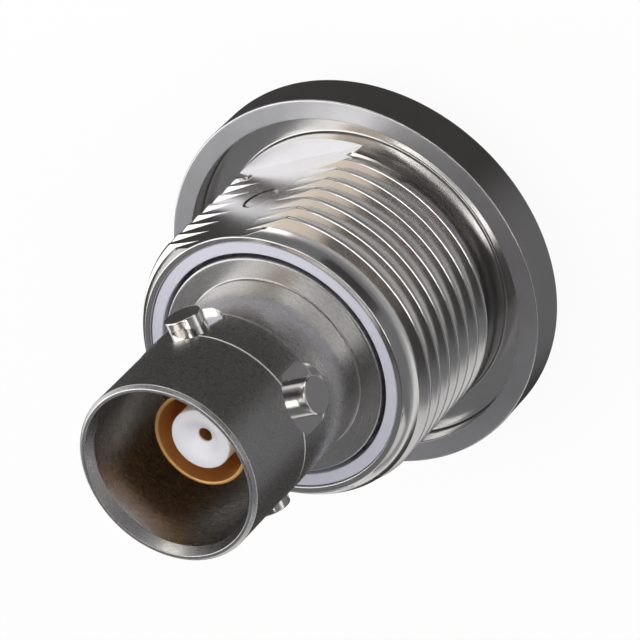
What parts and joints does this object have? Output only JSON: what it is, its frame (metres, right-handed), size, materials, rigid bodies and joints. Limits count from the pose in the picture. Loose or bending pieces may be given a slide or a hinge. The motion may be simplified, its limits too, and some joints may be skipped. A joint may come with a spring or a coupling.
{
  "type": "triaxial jack",
  "caption": "Insulated bulkhead triaxial jack: bayonet shell with radial lugs, gold tube and centre socket, in a threaded housing with a flat and a rear flange with a seal groove.",
  "frame": {"origin": "on the connector's axis at the end plane of the shell's tail, which it stands on", "axes": "+Z along the axis from the tail to the mating rim, +Y out through the housing's flat, +X out through one lug"},
  "size_m": [0.0206, 0.0206, 0.0279],
  "materials": {
    "housing_nickel": "nickel plate over turned brass, satin",
    "shell_nickel": "nickel plate over turned brass, satin",
    "contact_gold": "gold plate",
    "bush_plastic": "moulded, matte",
    "white_insulator": "turned, waxy",
    "hardware_nickel": "nickel plate"
  },
  "bodies": {
    "root": {"bulkhead_housing": "housing_nickel", "key_pin": "housing_nickel", "front_insulator": "bush_plastic", "rear_insulator": "bush_plastic", "jack_shell": "shell_nickel", "outer_dielectric": "white_insulator", "outer_rear_bead": "white_insulator", "shell_retaining_ring": "hardware_nickel", "intermediate_contact": "contact_gold", "inner_dielectric": "white_insulator", "inner_rear_bead": "white_insulator", "centre_contact": "contact_gold", "flat_washer": "hardware_nickel", "solder_lug": "hardware_nickel", "lock_washer": "hardware_nickel", "rear_nut": "hardware_nickel"}
  },
  "joints": []
}
